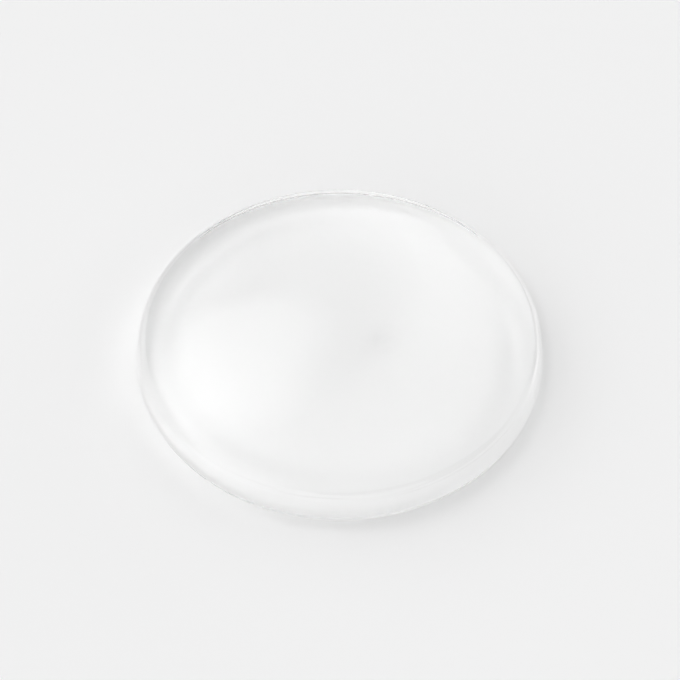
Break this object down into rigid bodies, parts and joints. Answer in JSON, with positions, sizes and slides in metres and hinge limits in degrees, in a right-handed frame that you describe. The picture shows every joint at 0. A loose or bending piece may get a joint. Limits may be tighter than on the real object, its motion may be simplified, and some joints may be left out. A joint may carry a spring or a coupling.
{
  "type": "cabinet door bumper",
  "caption": "Clear self-adhesive door bumper: a round, low-domed pad of soft polyurethane on a thin adhesive disc.",
  "frame": {"origin": "centre of the adhesive face, where the bumper sticks to the cabinet", "axes": "+Z is the axis of symmetry, from the adhesive face out through the crown of the dome"},
  "size_m": [0.01, 0.01, 0.0015],
  "materials": {
    "clear_polyurethane": "water-clear soft polyurethane, glossy as cast",
    "clear_adhesive": "clear acrylic pressure-sensitive adhesive, a very faint haze"
  },
  "bodies": {
    "root": {"bumper_dome": "clear_polyurethane", "adhesive_disc": "clear_adhesive"}
  },
  "joints": []
}
